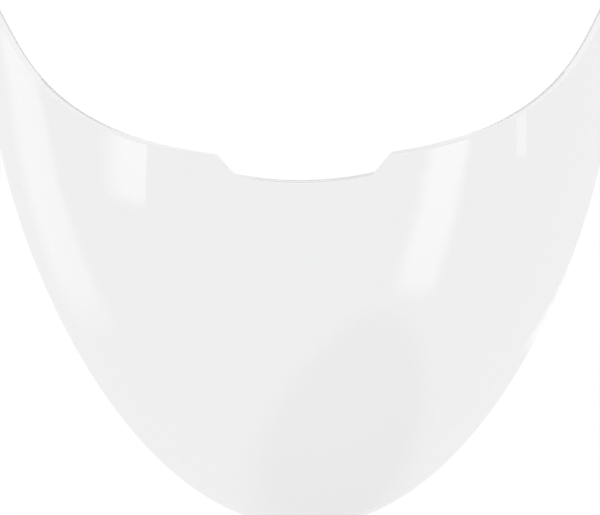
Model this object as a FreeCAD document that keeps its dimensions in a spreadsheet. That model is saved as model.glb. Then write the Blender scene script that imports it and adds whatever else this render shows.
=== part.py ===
import FreeCAD, Part
import math
import os
import re
import Sketcher
from FreeCAD import Placement, Rotation, Vector

# Clear shield of an open-face motorcycle helmet, with the click pivot kit of both sides.
# The origin is the middle of the pivot axis. +X runs along that axis to the wearer's left,
# +Z is up and the shield's front faces -Y. Sizes are in millimetres and degrees.
# The kit of the left side is drawn at +X, and the right side's is its mirror image.

SIZES = {
    # shield: the sheet and the curves of its surface
    "ear_half_width": 119.0,
    "shield_wall": 2.2,
    "front_reach": 150.0,
    "bulge_drop": 85.0,
    "front_curve": 240.0,
    "side_run": 24.0,
    "cheek_start": 45.0,
    "cheek_curve": 380.0,
    # shield: its outline seen from the side
    "ear_round": 26.0,
    "temple_curve": 152.0,
    "brow_curve": 78.0,
    "brow_drop": 18.0,
    "arm_curve": 30.0,
    "cheek_reach": 99.7,
    "cheek_drop": 83.0,
    "cheek_slope": 66.0,
    "jaw_curve": 436.0,
    "chin_drop": 187.0,
    # shield: the notch in the brow edge and the rounding of the rim
    "notch_width": 56.2,
    "notch_floor": 45.1,
    "notch_depth": 7.0,
    "notch_sag": 1.2,
    "notch_corner": 2.5,
    "rim_round": 0.6,
    # pivot, swing stop and clicks
    "hub_width": 17.8,
    "running_play": 0.1,
    "swing": 60.0,
    "stop_pin_width": 4.0,
    "stop_pin_reach": 17.5,
    "stop_pin_angle": 60.0,
    "stop_play": 0.2,
    "click_pitch": 10.0,
    "click_round": 2.0,
    "click_depth": 1.2,
    "click_angle": 55.0,
    # stack of pieces along the pivot axis
    "washer_play": 0.1,
    "inner_washer_wall": 0.8,
    "outer_washer_wall": 0.6,
    "washer_width": 28.0,
    "plate_wall": 3.6,
    "gasket_wall": 1.0,
    "gasket_inset": 1.0,
    "cover_wall": 2.4,
    "cover_groove_inset": 4.0,
    "cover_groove_width": 1.2,
    "cover_groove_depth": 0.5,
    "grip_start": -1.5,
    "grip_pitch": 3.0,
    "grip_width": 1.2,
    "grip_length": 9.0,
    "grip_rise": 0.5,
    "skirt_wall": 2.0,
    "skirt_start": -82.0,
    "skirt_end": 25.0,
    # outline that the plate and the cover share
    "plate_round": 30.0,
    "tail_round": 13.5,
    "tail_reach": 32.0,
    "edge_round": 1.4,
    "edge_break": 0.4,
    # click plunger, its guide and its spring; plunger_tail and spring_end are counted from the
    # middle of the tail, as grip_start is
    "plunger_gap": 0.3,
    "plunger_width": 6.5,
    "plunger_tail": 4.5,
    "plunger_flank": 25.0,
    "guide_play": 0.15,
    "guide_wall": 1.6,
    "guide_start": 30.2,
    "guide_sink": 1.6,
    "spring_end": 8.0,
    "spring_width": 3.0,
    "spring_wire": 0.4,
    "spring_turns": 7.0,
    "spring_bore_play": 0.2,
    "spring_bore_depth": 4.5,
    # fasteners
    "screw_reach": 20.0,
    "screw_width": 4.0,
    "screw_neck_width": 3.5,
    "screw_head_width": 7.6,
    "screw_hole_play": 0.15,
    "screw_stud": 8.0,
    "screw_tip": 0.6,
    "screw_recess_width": 0.9,
    "screw_recess_length": 4.2,
    "screw_recess_depth": 1.3,
    "insert_width": 7.0,
    "insert_bore": 4.6,
    "insert_length": 6.0,
    "insert_play": 0.05,
    "hub_floor": 0.8,
    "knurl_depth": 0.35,
    "knurl_count": 16.0,
    "coin_head_width": 16.0,
    "coin_head_wall": 2.6,
    "coin_head_sink": 1.0,
    "coin_shank_width": 4.5,
    "coin_head_round": 0.8,
    "coin_knurl_count": 28.0,
    "coin_grip": 5.5,
    "coin_slot_width": 2.0,
    "coin_slot_depth": 1.3,
    # how far a cutting shape runs past what it cuts
    "overrun": 4.0,
}
SECTIONS = 16
GRIP_RIBS = 3

# Levels along the pivot axis, counted outwards from the middle of the helmet
EAR_INSIDE = "ear_half_width - shield_wall"
PLATE_FACE = EAR_INSIDE + " - washer_play - inner_washer_wall"
PLATE_BACK = PLATE_FACE + " - plate_wall"
GASKET_BACK = PLATE_BACK + " - gasket_wall"
EAR_OUTSIDE = "ear_half_width"
COVER_SEAT = EAR_OUTSIDE + " + washer_play + outer_washer_wall"
HUB_HEIGHT = "inner_washer_wall + 2 * washer_play + shield_wall + outer_washer_wall"

doc = FreeCAD.newDocument("helmet_visor")
sheet = doc.addObject("Spreadsheet::Sheet", "Sizes")
for row, (alias, number) in enumerate(SIZES.items(), start=1):
    sheet.set(f"A{row}", alias)
    sheet.set(f"B{row}", str(number))
    sheet.setAlias(f"B{row}", alias)
doc.recompute()


def size(alias):
    """The number that the sheet holds under a name."""
    return float(sheet.get(alias))


def bind(thing, prop, text):
    """Tie a property to a sum of named sizes."""
    named = re.sub(r"[a-z]\w+", lambda word: "Sizes." + word[0] if word[0] in SIZES else word[0], text)
    thing.setExpression(prop, named)


def polar(reach, angle):
    """Point beside the pivot axis: angle 0 is rearwards and 90 is up."""
    turn = math.radians(angle)
    return Vector(0, reach * math.cos(turn), reach * math.sin(turn))


def finish(piece, label):
    """Give a finished piece its name."""
    doc.recompute()
    piece.Label = label
    return piece


pieces = []


def keep_both_sides(piece, name):
    """Keep a left piece and its mirror image on the right."""
    pieces.append(finish(piece, name + "_left"))
    mirror = doc.addObject("Part::Mirroring", name + "_mirror")
    mirror.Source = piece
    mirror.Normal = Vector(1, 0, 0)
    pieces.append(finish(mirror, name + "_right"))


# Bodies that are drawn across the pivot axis

def new_body(name, level, turn=0.0):
    """Body whose own x starts at a level along the pivot axis, turned about that axis."""
    body = doc.addObject("PartDesign::Body", name)
    body.Placement = Placement(Vector(), Rotation(Vector(1, 0, 0), turn))
    bind(body, "Placement.Base.x", level)
    return body


def new_sketch(body, name, level="0", turn=0.0):
    """Sketch across the pivot axis: its x is rearwards and its y is up, before any turn."""
    sketch = body.newObject("Sketcher::SketchObject", name)
    plane = next(item for item in body.Origin.OriginFeatures if item.Role == "YZ_Plane")
    sketch.AttachmentSupport = (plane, [""])
    sketch.MapMode = "FlatFace"
    sketch.AttachmentOffset = Placement(Vector(), Rotation(Vector(0, 0, 1), turn))
    bind(sketch, "AttachmentOffset.Base.z", level)
    return sketch


def fix(sketch, text, *constraint):
    """Add one constraint and tie its value to named sizes."""
    index = sketch.addConstraint(Sketcher.Constraint(*constraint))
    if text:
        bind(sketch, f"Constraints[{index}]", text)


def draw_circle(sketch, width, across="0", up="0"):
    """Circle of a named width, its centre at named distances from the pivot."""
    index = sketch.addGeometry(Part.Circle(Vector(1, 1, 0), Vector(0, 0, 1), 1))
    fix(sketch, f"({width}) / 2", "Radius", index, 1)
    for text, kind, axis in ((across, "DistanceX", -2), (up, "DistanceY", -1)):
        if text == "0":
            fix(sketch, None, "PointOnObject", index, 3, axis)
        else:
            fix(sketch, text, kind, -1, 1, index, 3, 1)


def draw_rectangle(sketch, start, end, width):
    """Rectangle centred across the sketch's x axis, from one distance to another."""
    corners = [Vector(1, -1, 0), Vector(2, -1, 0), Vector(2, 1, 0), Vector(1, 1, 0)]
    lines = [
        sketch.addGeometry(Part.LineSegment(corners[k], corners[(k + 1) % 4]))
        for k in range(4)
    ]
    for k, line in enumerate(lines):
        fix(sketch, None, "Coincident", line, 2, lines[(k + 1) % 4], 1)
    for line, kind in zip((lines[0], lines[2], lines[3]), ("Horizontal", "Horizontal", "Vertical")):
        fix(sketch, None, kind, line)
    fix(sketch, width, "DistanceY", lines[1], 1, lines[1], 2, 2)
    fix(sketch, None, "Symmetric", lines[1], 1, lines[1], 2, -1)
    fix(sketch, start, "DistanceX", -1, 1, lines[0], 1, 1)
    fix(sketch, end, "DistanceX", -1, 1, lines[0], 2, 2)


def draw_hull(sketch, inset="0"):
    """Outline round the pivot and round the tail, whose centre lies on the sketch's x axis."""
    tilt = math.acos((size("plate_round") - size("tail_round")) / size("tail_reach"))
    ends = []
    for centre, alias in ((0.0, "plate_round"), (size("tail_reach"), "tail_round")):
        wide = size(alias)
        ends.append((centre, wide, wide * math.cos(tilt), wide * math.sin(tilt)))
    (_, big, big_x, big_y), (far, small, small_x, small_y) = ends
    axis = Vector(0, 0, 1)
    front = Part.ArcOfCircle(Part.Circle(Vector(), axis, big), tilt, 2 * math.pi - tilt)
    rear = Part.ArcOfCircle(Part.Circle(Vector(far, 0, 0), axis, small), -tilt, tilt)
    upper = Part.LineSegment(Vector(far + small_x, small_y, 0), Vector(big_x, big_y, 0))
    lower = Part.LineSegment(Vector(big_x, -big_y, 0), Vector(far + small_x, -small_y, 0))
    front, rear, upper, lower = [sketch.addGeometry(item) for item in (front, rear, upper, lower)]
    fix(sketch, None, "Tangent", rear, 2, upper, 1)
    fix(sketch, None, "Tangent", upper, 2, front, 1)
    fix(sketch, None, "Tangent", front, 2, lower, 1)
    fix(sketch, None, "Tangent", lower, 2, rear, 1)
    fix(sketch, None, "Coincident", front, 3, -1, 1)
    fix(sketch, None, "PointOnObject", rear, 3, -1)
    fix(sketch, "tail_reach", "DistanceX", -1, 1, rear, 3, far)
    fix(sketch, f"plate_round - ({inset})", "Radius", front, big)
    fix(sketch, f"tail_round - ({inset})", "Radius", rear, small)


def pad(body, sketch, length):
    """Raise a sketch outwards along the pivot axis."""
    feature = body.newObject("PartDesign::Pad", sketch.Name + "_pad")
    feature.Profile = sketch
    bind(feature, "Length", length)
    doc.recompute()
    return feature


def pocket(body, sketch, length, inwards=True):
    """Sink a sketch in the body, and make sure that it takes something away."""
    before = body.Shape.Volume
    feature = body.newObject("PartDesign::Pocket", sketch.Name + "_pocket")
    feature.Profile = sketch
    feature.Reversed = not inwards
    bind(feature, "Length", length)
    doc.recompute()
    if body.Shape.Volume >= before:
        raise ValueError(sketch.Name + " cuts nothing")
    return feature


def at_level(level):
    """Test for an edge that lies wholly at one level along the body's x."""
    def test(edge):
        box = edge.BoundBox
        return abs(box.XMin - level) + abs(box.XMax - level) < size("running_play") / 2
    return test


def dress(body, kind, name, text, wanted):
    """Fillet or chamfer the edges of the body's last feature that pass a test."""
    base = body.Tip
    edges = [f"Edge{index}" for index, edge in enumerate(base.Shape.Edges, start=1) if wanted(edge)]
    feature = body.newObject("PartDesign::" + kind, name)
    feature.Base = (base, edges)
    bind(feature, "Radius" if kind == "Fillet" else "Size", text)
    doc.recompute()


def repeat_round(body, feature, name, count):
    """Repeat a feature all the way round the pivot axis."""
    pattern = body.newObject("PartDesign::PolarPattern", name)
    pattern.Originals = [feature]
    axis = next(item for item in body.Origin.OriginFeatures if item.Role == "X_Axis")
    pattern.Axis = (axis, [""])
    pattern.Angle = 360
    bind(pattern, "Occurrences", count)
    body.Tip = pattern
    doc.recompute()


# Shield: one clear moulded sheet. Its surface is lofted through level sections: straight at
# the ears and half an ellipse round the face. The side view's outline cuts it to shape.

def bow(radius, offset):
    """How far an arc of a radius falls back at an offset from its crown, and its slope there."""
    fall = math.sqrt(radius ** 2 - offset ** 2)
    return radius - fall, offset / fall


def level_section(height, wall_share):
    """Closed section of the sheet's outside, or of its inside if a wall is taken off."""
    cheek, cheek_slope = bow(size("cheek_curve"), max(-size("cheek_start") - height, 0))
    front, front_slope = bow(size("front_curve"), height + size("bulge_drop"))
    wall = wall_share * size("shield_wall")
    wide = size("ear_half_width") - cheek - wall * math.hypot(1, cheek_slope)
    deep = size("front_reach") - front - wall * math.hypot(1, front_slope) - size("side_run")
    centre = Vector(0, -size("side_run"), height)
    side = centre + Vector(wide, 0, 0)
    ahead = centre + Vector(0, -deep, 0)
    if deep > wide:
        oval = Part.Ellipse(ahead, side, centre)
    else:
        oval = Part.Ellipse(centre - Vector(wide, 0, 0), ahead, centre)
    start = oval.parameter(centre - Vector(wide, 0, 0))
    end = oval.parameter(side)
    front_arc = Part.ArcOfEllipse(oval, start, end, True)
    back = size("ear_round") + size("overrun") * (2 - wall_share)
    right_back = Vector(-wide, back, height)
    left_back = Vector(wide, back, height)
    return Part.Wire([
        front_arc.toShape(),
        Part.LineSegment(side, left_back).toShape(),
        Part.LineSegment(left_back, right_back).toShape(),
        Part.LineSegment(right_back, Vector(-wide, -size("side_run"), height)).toShape(),
    ])


def lofted(name, wall_share):
    """Solid through the level sections, from under the chin to over the ears."""
    low = -size("chin_drop") - size("overrun") * wall_share
    high = size("ear_round") + size("overrun") * (1 + wall_share)
    sections = []
    for index in range(SECTIONS):
        section = doc.addObject("Part::Feature", f"{name}_section")
        section.Shape = level_section(low + (high - low) * index / (SECTIONS - 1), wall_share)
        sections.append(section)
    loft = doc.addObject("Part::Loft", name)
    loft.Sections = sections
    loft.Solid = True
    return loft


def side_point(reach, height):
    """Point of the side view, at a reach ahead of the pivot."""
    return Vector(0, -reach, height)


def arc_about(centre, radius, start, end):
    """Arc in the side view; angle 0 is forwards and 90 is up."""
    points = []
    for angle in (start, (start + end) / 2, end):
        turn = math.radians(angle)
        points.append(centre + side_point(radius * math.cos(turn), radius * math.sin(turn)))
    return Part.Arc(*points).toShape()


def side_outline():
    """Side view of the shield: ear, temple, brow, chin, cheek and the underside of the arm."""
    ear, temple, brow = size("ear_round"), size("temple_curve"), size("brow_curve")
    arm, jaw = size("arm_curve"), size("jaw_curve")
    rise = math.degrees(math.acos(1 - (ear + size("brow_drop")) / (temple + brow)))
    brow_centre = side_point((temple + brow) * math.sin(math.radians(rise)), brow - size("brow_drop"))
    temple_centre = side_point(0, ear - temple)
    slope = size("cheek_slope")
    along = side_point(-math.cos(math.radians(slope)), math.sin(math.radians(slope)))
    across = side_point(math.sin(math.radians(slope)), math.cos(math.radians(slope)))
    cheek = side_point(size("cheek_reach"), -size("cheek_drop"))
    arm_low = -ear - arm * (1 - math.cos(math.radians(slope)))
    arm_end = cheek + along * ((arm_low - cheek.z) / along.z)
    arm_centre = Vector(0, arm_end.y - arm * across.y, -ear - arm)
    jaw_centre = cheek - across * jaw
    steepest = math.acos(math.cos(math.radians(slope)) - (size("chin_drop") - size("cheek_drop")) / jaw)
    temple_arc = arc_about(temple_centre, temple, 90, 90 - rise)
    brow_arc = arc_about(brow_centre, brow, 270 - rise, 270)
    jaw_arc = arc_about(jaw_centre, jaw, 90 - slope, 90 - math.degrees(steepest))
    arm_arc = arc_about(arm_centre, arm, 90 - slope, 90)
    ear_arc = arc_about(Vector(), ear, 90, 270)
    brow_end = side_point(-brow_centre.y, -size("brow_drop"))
    jaw_end = jaw_centre + side_point(jaw * math.sin(steepest), jaw * math.cos(steepest))
    front = max(size("front_reach"), -brow_end.y, -jaw_end.y) + size("overrun")
    brow_front = side_point(front, -size("brow_drop"))
    chin_front = side_point(front, jaw_end.z)
    points = [
        (brow_end, brow_front),
        (brow_front, chin_front),
        (chin_front, jaw_end),
        (cheek, arm_end),
        (arm_centre + Vector(0, 0, arm), side_point(0, -ear)),
    ]
    lines = [Part.LineSegment(*pair).toShape() for pair in points]
    edges = [temple_arc, brow_arc, *lines[:3], jaw_arc, lines[3], arm_arc, lines[4], ear_arc]
    return Part.Wire(Part.sortEdges(edges)[0])


def boolean(kind, name, base, tool):
    """Cut or common of two pieces."""
    result = doc.addObject("Part::" + kind, name)
    result.Base = base
    result.Tool = tool
    return result


def across_helmet(name, outline):
    """Solid of a side view outline that runs past both ears."""
    profile = doc.addObject("Part::Feature", name + "_outline")
    profile.Shape = Part.Face(outline)
    solid = doc.addObject("Part::Extrusion", name)
    solid.Base = profile
    solid.DirMode = "Custom"
    solid.Dir = Vector(1, 0, 0)
    solid.Solid = True
    bind(solid, "LengthFwd", "ear_half_width + overrun")
    bind(solid, "LengthRev", "ear_half_width + overrun")
    return solid


def rod_across(name, width, reach, angle):
    """Rod along the pivot axis through both ears; angle 0 is rearwards and 90 is up."""
    rod = doc.addObject("Part::Cylinder", name)
    rod.Placement = Placement(Vector(), Rotation(Vector(0, 1, 0), 90))
    bind(rod, "Radius", f"({width}) / 2")
    bind(rod, "Height", "2 * (ear_half_width + overrun)")
    bind(rod, "Placement.Base.x", "-ear_half_width - overrun")
    bind(rod, "Placement.Base.y", f"({reach}) * cos({angle})")
    bind(rod, "Placement.Base.z", f"({reach}) * sin({angle})")
    return rod


def slot_outline():
    """Arc slot with round ends that the stop pin runs in; its rear end is where the pin rests."""
    reach = size("stop_pin_reach")
    half = size("stop_pin_width") / 2 + size("running_play")
    play = math.degrees(size("stop_play") / reach)
    start = size("stop_pin_angle") - play
    end = size("stop_pin_angle") + size("swing") + play
    middle = (start + end) / 2

    def arc(radius, *angles):
        return Part.Arc(*[polar(radius, angle) for angle in angles]).toShape()

    def cap(angle, side):
        turn = math.radians(angle)
        beyond = Vector(0, -math.sin(turn), math.cos(turn)) * half * side
        return Part.Arc(polar(reach + half, angle), polar(reach, angle) + beyond,
                        polar(reach - half, angle)).toShape()

    edges = [arc(reach + half, start, middle, end), cap(end, 1),
             arc(reach - half, end, middle, start), cap(start, -1)]
    return Part.Wire(Part.sortEdges(edges)[0])


def notch_outline():
    """Front view of the notch in the brow edge, with its hollow floor and its leaning sides."""
    floor = -size("brow_drop") - size("notch_depth")
    floor_end = floor + size("notch_sag")
    lean = (size("notch_width") - size("notch_floor")) / 2 / (size("notch_depth") - size("notch_sag"))
    top = size("ear_round") + size("overrun")
    top_end = size("notch_floor") / 2 + lean * (top - floor_end)
    half = size("notch_floor") / 2
    left, right = Vector(-half, 0, floor_end), Vector(half, 0, floor_end)
    left_top, right_top = Vector(-top_end, 0, top), Vector(top_end, 0, top)
    return Part.Wire([
        Part.Arc(left, Vector(0, 0, floor), right).toShape(),
        Part.LineSegment(right, right_top).toShape(),
        Part.LineSegment(right_top, left_top).toShape(),
        Part.LineSegment(left_top, left).toShape(),
    ])


def rounded(name, base, radius, wanted):
    """Fillet of every edge that passes a test."""
    fillet = doc.addObject("Part::Fillet", name)
    fillet.Base = base
    edges = [index for index, edge in enumerate(base.Shape.Edges, start=1) if wanted(edge)]
    fillet.Edges = [(index, radius, radius) for index in edges]
    doc.recompute()
    return fillet


def make_shield():
    shell = boolean("Cut", "shield_shell", lofted("shield_outside", 0), lofted("shield_inside", 1))
    trimmed = boolean("Common", "shield_trimmed", shell, across_helmet("shield_side", side_outline()))
    profile = doc.addObject("Part::Feature", "notch_outline")
    profile.Shape = Part.Face(notch_outline())
    notch = doc.addObject("Part::Extrusion", "notch")
    notch.Base = profile
    notch.DirMode = "Custom"
    notch.Dir = Vector(0, -1, 0)
    notch.Solid = True
    bind(notch, "LengthFwd", "front_reach + overrun")
    notched = boolean("Cut", "shield_notched", trimmed, notch)
    doc.recompute()

    def at_corner(edge):
        """An edge that the notch leaves across the wall, straight ahead."""
        box = edge.BoundBox
        straight = box.XLength + box.ZLength < size("running_play")
        return straight and max(box.XMax, -box.XMin) < size("notch_width")

    cornered = rounded("shield_corners", notched, size("notch_corner"), at_corner)

    def on_rim(edge):
        """An edge along the cut rim, not across the wall and not between the curved faces."""
        box = edge.BoundBox
        across_wall = edge.Length < size("shield_wall") * 2
        level = abs(box.YMin + size("side_run")) + abs(box.YMax + size("side_run")) < size("rim_round")
        return not across_wall and not level

    rimmed = rounded("shield_rim", cornered, size("rim_round"), on_rim)
    slot = across_helmet("stop_slot", slot_outline())
    tools = [slot, rod_across("pivot_hole", "hub_width + 2 * running_play", "0", "0")]
    for step in range(round(size("swing") / size("click_pitch")) + 1):
        angle = f"{step} * click_pitch - click_angle"
        reach = "ear_round - click_depth + click_round"
        tools.append(rod_across(f"click_{step}", "2 * click_round", reach, angle))
    cuts = doc.addObject("Part::Compound", "ear_cuts")
    cuts.Links = tools
    return boolean("Cut", "shield", rimmed, cuts)


shield = make_shield()
pieces.append(finish(shield, "shield"))


# Base plate: moulded nylon plate that the helmet shell carries. Its hub goes through the ear,
# its pin stops the swing and its guide holds the click plunger.

GUIDE_WIDTH = "plunger_width + 2 * guide_play"
GUIDE_RISE = HUB_HEIGHT + " - guide_play"
PIN_ACROSS = "stop_pin_reach * cos(stop_pin_angle)"
PIN_UP = "stop_pin_reach * sin(stop_pin_angle)"
SCREW_HOLE = "screw_width + 2 * screw_hole_play"
SPRING_STOP = "tail_reach + spring_end"


def circle_sketch(body, name, level, width, across="0", up="0"):
    """Sketch that holds one circle."""
    sketch = new_sketch(body, name, level)
    draw_circle(sketch, width, across, up)
    return sketch


def bar_sketch(body, name, level, start, end, width):
    """Sketch of a rectangle that lies along the plunger's line."""
    sketch = new_sketch(body, name, level, -size("click_angle"))
    draw_rectangle(sketch, start, end, width)
    return sketch


def hull_sketch(body, name, level, inset="0"):
    """Sketch of the outline that the plate and the cover share."""
    sketch = new_sketch(body, name, level, -size("click_angle"))
    draw_hull(sketch, inset)
    return sketch


def make_base_plate():
    body = new_body("base_plate", PLATE_BACK)
    pad(body, hull_sketch(body, "plate_outline", "0"), "plate_wall")
    dress(body, "Chamfer", "plate_edge", "edge_break", at_level(size("plate_wall")))
    pad(body, circle_sketch(body, "hub", "plate_wall", "hub_width"), HUB_HEIGHT)
    dress(body, "Chamfer", "hub_edge", "edge_break", at_level(size("plate_wall") + hub_height()))
    stop = circle_sketch(body, "stop_pin", "plate_wall", "stop_pin_width", PIN_ACROSS, PIN_UP)
    pad(body, stop, "inner_washer_wall + washer_play + shield_wall")
    pin_top = size("plate_wall") + size("inner_washer_wall") + size("washer_play") + size("shield_wall")
    dress(body, "Chamfer", "stop_pin_edge", "edge_break", at_level(pin_top))
    block = bar_sketch(body, "guide_block", "plate_wall", "guide_start",
                       SPRING_STOP + " + guide_wall", GUIDE_WIDTH + " + 2 * guide_wall")
    pad(body, block, GUIDE_RISE)
    channel = bar_sketch(body, "guide_channel", "plate_wall + " + GUIDE_RISE,
                         "ear_round - click_depth - click_round", SPRING_STOP, GUIDE_WIDTH)
    pocket(body, channel, GUIDE_RISE + " + guide_sink")
    for name, across in (("front_hole", "-screw_reach"), ("rear_hole", "screw_reach")):
        pocket(body, circle_sketch(body, name, "plate_wall", SCREW_HOLE, across), "plate_wall")
    dress(body, "Chamfer", "countersinks", "(screw_head_width - screw_width) / 2", screw_mouth)
    bore = circle_sketch(body, "insert_hole", "plate_wall + " + HUB_HEIGHT, "insert_width + 2 * insert_play")
    pocket(body, bore, "plate_wall - hub_floor + " + HUB_HEIGHT)
    return body


def hub_height():
    """How far the hub stands out of the plate."""
    play = 2 * size("washer_play")
    return size("inner_washer_wall") + play + size("shield_wall") + size("outer_washer_wall")


def screw_mouth(edge):
    """Test for the mouth of a mounting screw's hole in the plate's face."""
    if edge.Curve.TypeId != "Part::GeomCircle":
        return False
    centre = edge.Curve.Center
    side = abs(abs(centre.y) - size("screw_reach")) + abs(centre.z) + abs(centre.x - size("plate_wall"))
    return side < size("running_play")


keep_both_sides(make_base_plate(), "base_plate")


# Base gasket: thin rubber sheet between the plate and the helmet shell

def make_base_gasket():
    body = new_body("base_gasket", GASKET_BACK)
    pad(body, hull_sketch(body, "gasket_outline", "0", "gasket_inset"), "gasket_wall")
    for name, across in (("gasket_front_hole", "-screw_reach"), ("gasket_rear_hole", "screw_reach")):
        pocket(body, circle_sketch(body, name, "gasket_wall", SCREW_HOLE, across), "gasket_wall")
    return body


keep_both_sides(make_base_gasket(), "base_gasket")


# Mounting screws: two countersunk screws whose shanks stand out behind the gasket

def lay_along_axis(solid, level, across="0"):
    """Turn a primitive's own z along the pivot axis and set where it starts."""
    solid.Placement = Placement(Vector(), Rotation(Vector(0, 1, 0), 90))
    bind(solid, "Placement.Base.x", level)
    bind(solid, "Placement.Base.y", across)


def turned_length(kind, name, radii, start, length, across):
    """Length of a turned piece along the pivot axis: a cylinder of one radius or a cone of two."""
    solid = doc.addObject("Part::" + kind, name)
    for prop, radius in zip(("Radius",) if len(radii) == 1 else ("Radius1", "Radius2"), radii):
        bind(solid, prop, radius)
    bind(solid, "Height", length)
    lay_along_axis(solid, start, across)
    return solid


def make_screw(name, across):
    """Countersunk screw: cross recess, neck through the plate, thread's outside and tip."""
    thread, neck, head = "screw_width / 2", "screw_neck_width / 2", "screw_head_width / 2"
    tip_start = GASKET_BACK + " - screw_stud"
    head_depth = f"{head} - {thread}"
    lengths = [
        turned_length("Cone", name + "_tip", (neck, thread), tip_start, "screw_tip", across),
        turned_length("Cylinder", name + "_stud", (thread,), tip_start + " + screw_tip",
                      "screw_stud - screw_tip", across),
        turned_length("Cylinder", name + "_neck", (neck,), GASKET_BACK, "gasket_wall + plate_wall", across),
        turned_length("Cone", name + "_head", (thread, head), f"{PLATE_FACE} - ({head_depth})",
                      head_depth, across),
    ]
    bars = []
    for turned in (False, True):
        bar = doc.addObject("Part::Box", name + "_recess")
        wide, tall = "screw_recess_width", "screw_recess_length"
        if turned:
            wide, tall = tall, wide
        bind(bar, "Length", "screw_recess_depth")
        bind(bar, "Width", wide)
        bind(bar, "Height", tall)
        bind(bar, "Placement.Base.x", PLATE_FACE + " - screw_recess_depth")
        bind(bar, "Placement.Base.y", f"{across} - {wide} / 2")
        bind(bar, "Placement.Base.z", f"-{tall} / 2")
        bars.append(bar)
    blank = doc.addObject("Part::MultiFuse", name + "_blank")
    blank.Shapes = lengths
    cross = boolean("Fuse", name + "_cross", *bars)
    return boolean("Cut", name, blank, cross)


def make_mount_screws():
    pair = doc.addObject("Part::Compound", "mount_screws")
    pair.Links = [make_screw("front_screw", "-screw_reach"), make_screw("rear_screw", "screw_reach")]
    return pair


keep_both_sides(make_mount_screws(), "mount_screws")


# Washers: flat nylon rings on the hub, one on each face of the ear

def make_washer(name, level, wall):
    body = new_body(name, level)
    pad(body, circle_sketch(body, name + "_rim", "0", "washer_width"), wall)
    pocket(body, circle_sketch(body, name + "_hole", wall, "hub_width + 2 * running_play"), wall)
    return body


inner_washer = make_washer("inner_washer", PLATE_FACE, "inner_washer_wall")
keep_both_sides(inner_washer, "inner_washer")
outer_washer = make_washer("outer_washer", EAR_OUTSIDE + " + washer_play", "outer_washer_wall")
keep_both_sides(outer_washer, "outer_washer")


# Hub insert: knurled brass thread insert, flush with the end of the hub

def make_hub_insert():
    body = new_body("hub_insert", COVER_SEAT + " - insert_length")
    pad(body, circle_sketch(body, "insert_barrel", "0", "insert_width"), "insert_length")
    pocket(body, circle_sketch(body, "insert_bore", "insert_length", "insert_bore"), "insert_length")
    groove = circle_sketch(body, "insert_knurl", "insert_length", "2 * knurl_depth", "insert_width / 2")
    knurl = pocket(body, groove, "insert_length")
    repeat_round(body, knurl, "insert_knurls", "knurl_count")
    return body


keep_both_sides(make_hub_insert(), "hub_insert")


# Click plunger: acetal slider with a round nose that drops in the scallops of the ear

NOSE_REACH = "ear_round - click_depth + click_round"
PLUNGER_BACK = PLATE_FACE + " - guide_sink + running_play"
PLUNGER_END = "tail_reach + plunger_tail"
BORE_END = PLUNGER_END + " - spring_bore_depth"
PLUNGER_WALL = "guide_sink - running_play + inner_washer_wall + washer_play + shield_wall"


def draw_plunger(sketch):
    """Outline of the plunger along its line: round nose, tapering flanks, square tail."""
    flank = math.radians(size("plunger_flank"))
    nose = size("click_round") - size("plunger_gap")
    centre = size("ear_round") - size("click_depth") + size("click_round")
    half = size("plunger_width") / 2
    tip_x, tip_y = centre - nose * math.sin(flank), nose * math.cos(flank)
    shoulder = tip_x + (half - tip_y) / math.tan(flank)
    tail = size("tail_reach") + size("plunger_tail")
    circle = Part.Circle(Vector(centre, 0, 0), Vector(0, 0, 1), nose)
    arc = sketch.addGeometry(Part.ArcOfCircle(circle, math.pi / 2 + flank, 3 * math.pi / 2 - flank))
    ring = [(tip_x, -tip_y), (shoulder, -half), (tail, -half), (tail, half), (shoulder, half), (tip_x, tip_y)]
    points = [Vector(x, y, 0) for x, y in ring]
    low_flank, low_side, back, high_side, high_flank = [
        sketch.addGeometry(Part.LineSegment(*pair)) for pair in zip(points, points[1:])
    ]
    fix(sketch, None, "Tangent", arc, 2, low_flank, 1)
    fix(sketch, None, "Tangent", high_flank, 2, arc, 1)
    chain = [low_flank, low_side, back, high_side, high_flank]
    for first, second in zip(chain, chain[1:]):
        fix(sketch, None, "Coincident", first, 2, second, 1)
    fix(sketch, None, "Horizontal", low_side)
    fix(sketch, None, "Horizontal", high_side)
    fix(sketch, None, "PointOnObject", arc, 3, -1)
    fix(sketch, None, "Symmetric", back, 1, back, 2, -1)
    fix(sketch, None, "Vertical", low_side, 1, high_side, 2)
    nose_round = "click_round - plunger_gap"
    fix(sketch, nose_round, "Radius", arc, nose)
    fix(sketch, NOSE_REACH, "DistanceX", -1, 1, arc, 3, centre)
    fix(sketch, PLUNGER_END, "DistanceX", -1, 1, back, 1, tail)
    fix(sketch, "plunger_width", "DistanceY", back, 1, back, 2, 2 * half)
    rise = f"plunger_width / 2 - ({nose_round}) * cos(plunger_flank)"
    shoulder_reach = f"{NOSE_REACH} - ({nose_round}) * sin(plunger_flank) + ({rise}) / tan(plunger_flank)"
    fix(sketch, shoulder_reach, "DistanceX", -1, 1, low_side, 1, shoulder)


def lay_along_plunger(solid, start):
    """Turn a primitive's own z along the plunger's line and set where it starts."""
    turn = Rotation(Vector(1, 0, 0), -90 - size("click_angle"))
    solid.Placement = Placement(Vector(), turn)
    bind(solid, "Placement.Base.x", f"{PLUNGER_BACK} + ({PLUNGER_WALL}) / 2")
    bind(solid, "Placement.Base.y", f"({start}) * cos(click_angle)")
    bind(solid, "Placement.Base.z", f"-({start}) * sin(click_angle)")


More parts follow.
